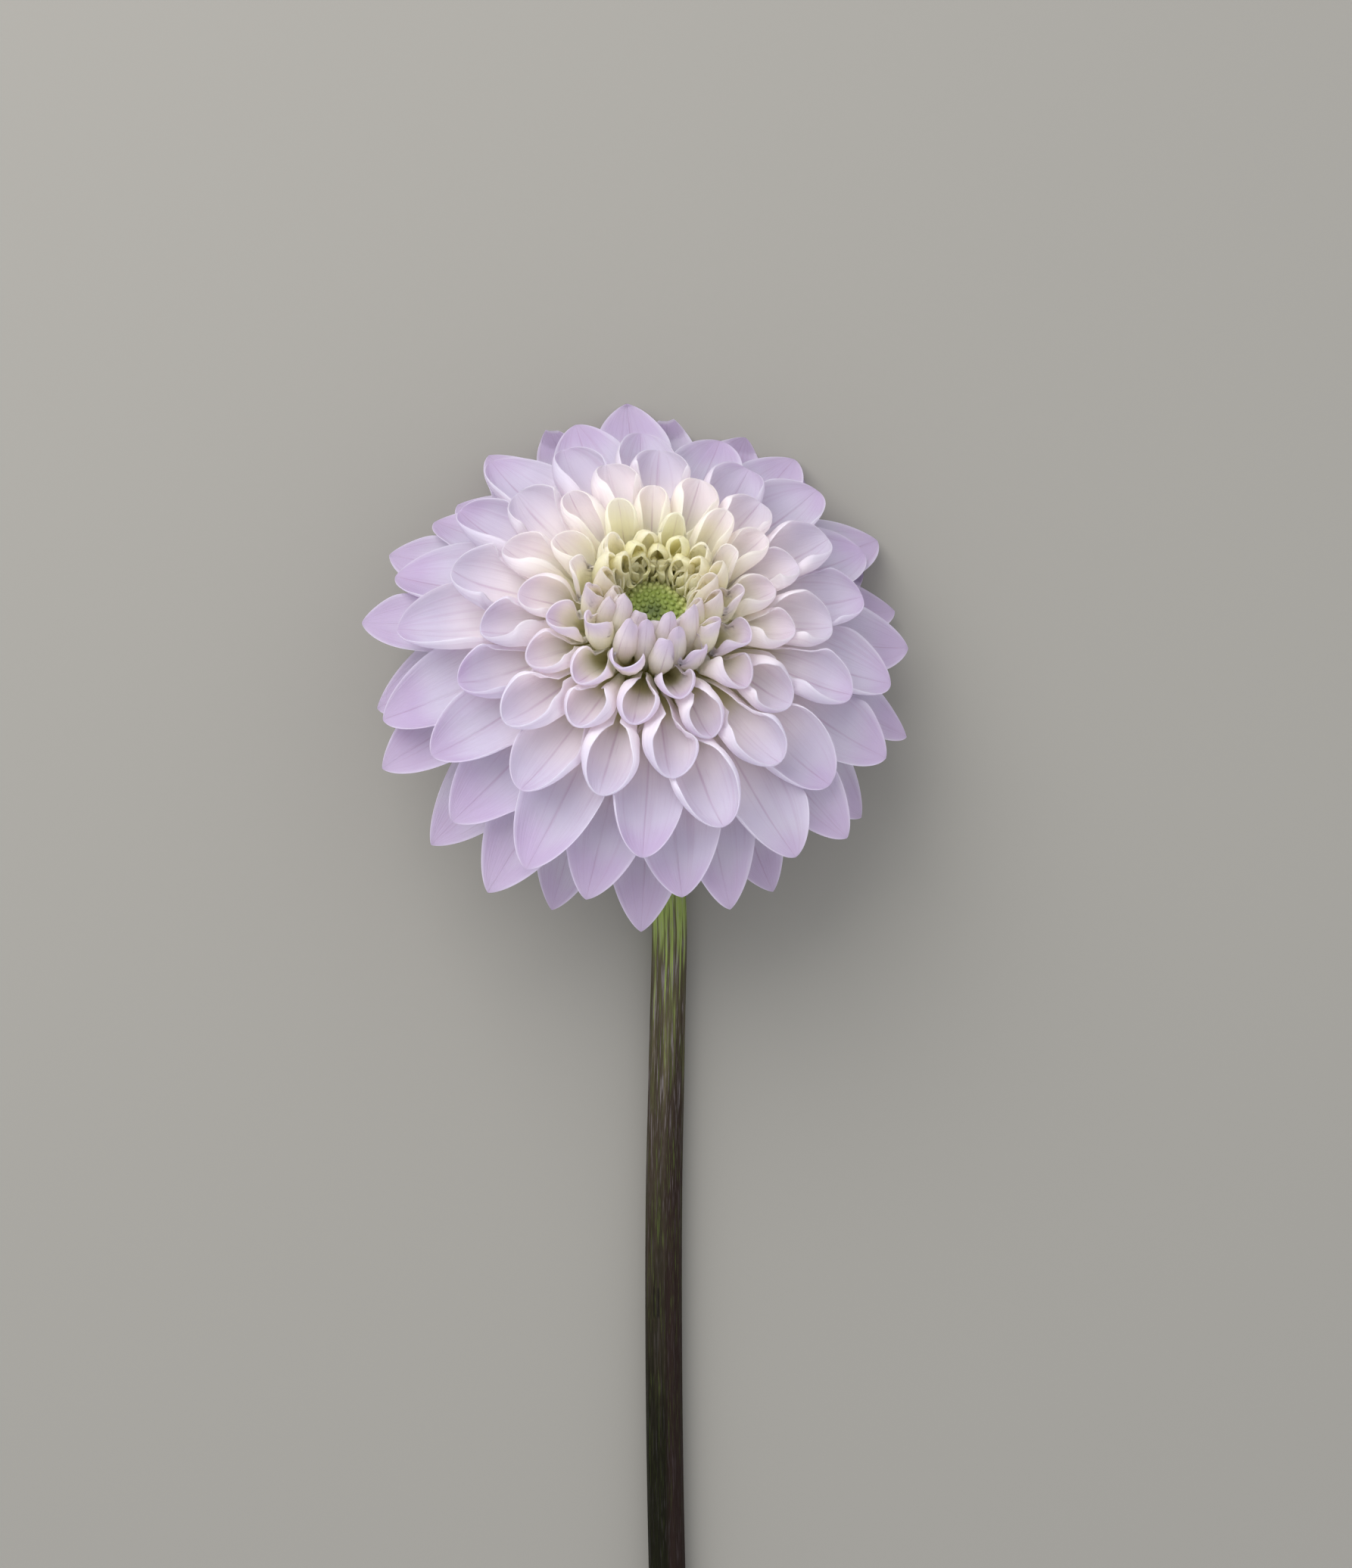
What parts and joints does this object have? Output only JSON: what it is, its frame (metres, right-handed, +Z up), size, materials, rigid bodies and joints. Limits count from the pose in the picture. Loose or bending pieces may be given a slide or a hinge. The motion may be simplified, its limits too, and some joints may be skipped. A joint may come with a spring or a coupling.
{
  "type": "decorative dahlia",
  "caption": "Cut decorative dahlia bloom, lying down: layered pale lilac ray florets, cream young florets round a green disc, green bracts and a bare stem bent at the neck.",
  "frame": {"origin": "centre of the bounding box on the surface that the flower lies on", "axes": "+Z up from the table; +Y from the cut end of the stem towards the head; +X to the right, seen from above with the head at the top"},
  "size_m": [0.1112, 0.2894, 0.0608],
  "materials": {
    "stem": "satin, green shading to dark purple-brown",
    "involucre": "matte green",
    "ray_florets": "soft matte, pale lilac to cream",
    "young_florets": "soft matte, cream with lilac tips",
    "disc_florets": "matte green"
  },
  "bodies": {
    "root": {"stem": "stem", "involucre": "involucre", "ray_florets": "ray_florets", "young_florets": "young_florets", "disc_florets": "disc_florets"}
  },
  "joints": []
}
